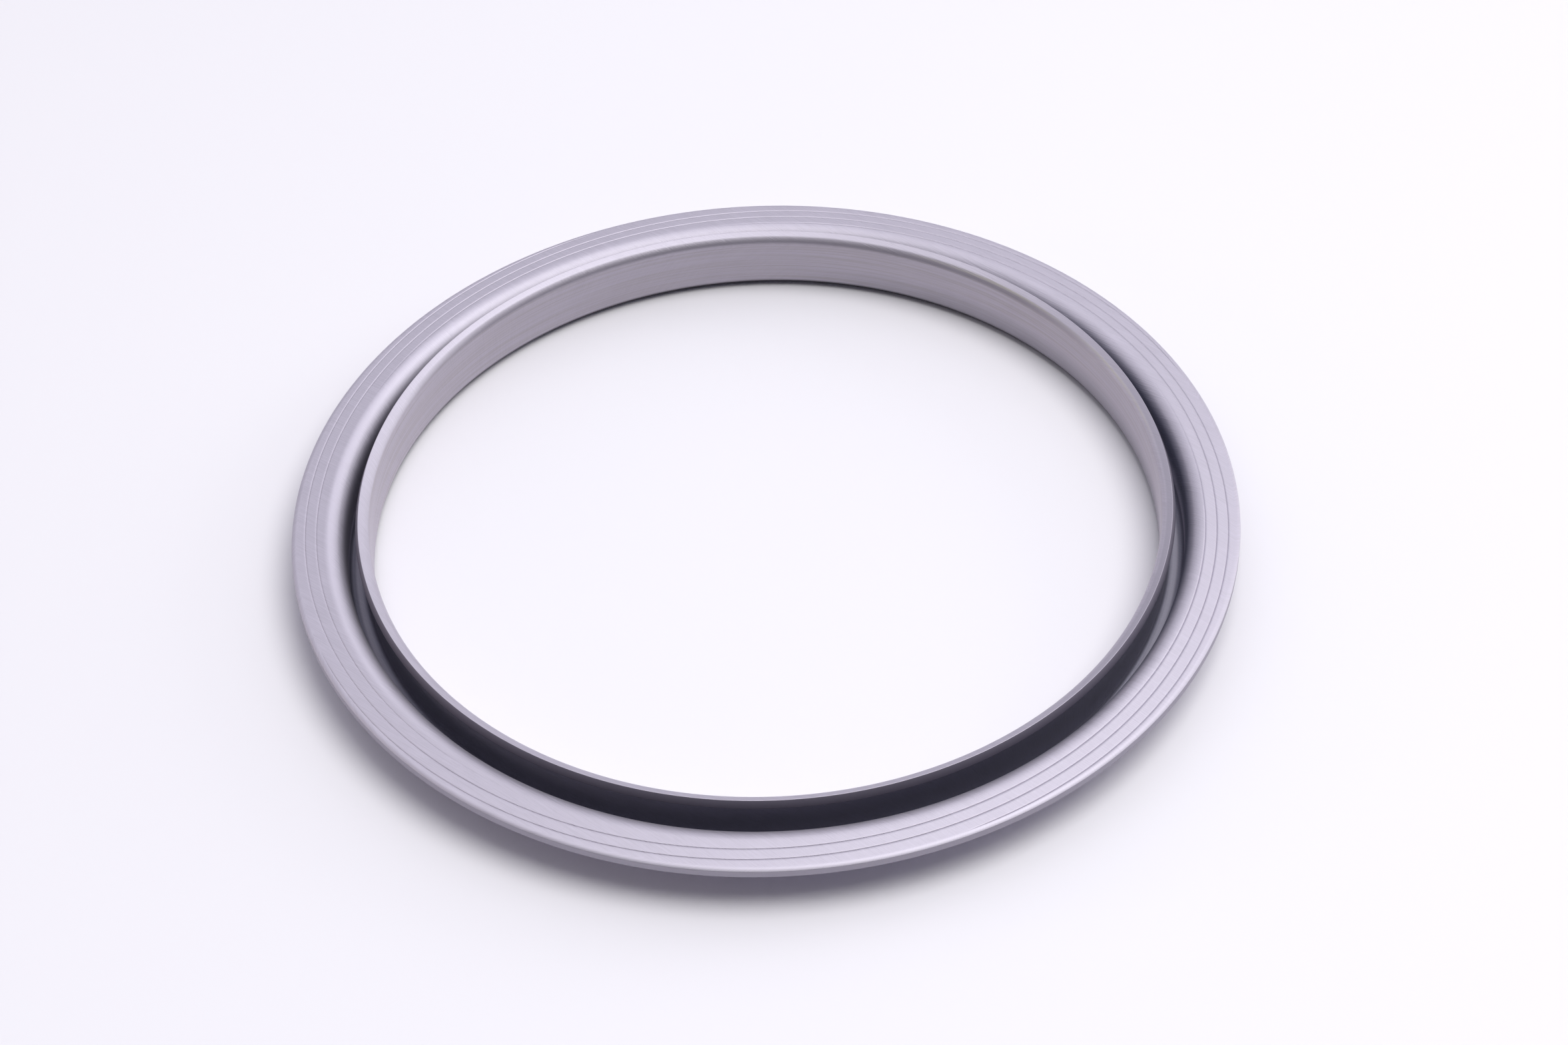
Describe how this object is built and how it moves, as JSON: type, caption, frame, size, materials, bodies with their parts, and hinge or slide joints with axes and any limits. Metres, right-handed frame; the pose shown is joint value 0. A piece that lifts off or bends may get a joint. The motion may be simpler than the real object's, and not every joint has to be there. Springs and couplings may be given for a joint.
{
  "type": "radial shaft seal ring",
  "caption": "Thin pressed-metal shaft seal ring: a plain neck with a flared lip, a narrow channel round it and a wide flange falling gently to its rim, cut with fine spiral grooves.",
  "frame": {"origin": "on the shaft axis, level with the underside of the channel that the ring lies on", "axes": "+Z along the shaft axis, towards the flared lip; +X and +Y lie in the plane of the ring"},
  "size_m": [0.15, 0.15, 0.0109],
  "materials": {
    "pressed_sheet": "satin sheet metal with a fine straight rolling grain all one way"
  },
  "bodies": {
    "root": {"seal_ring": "pressed_sheet"}
  },
  "joints": []
}
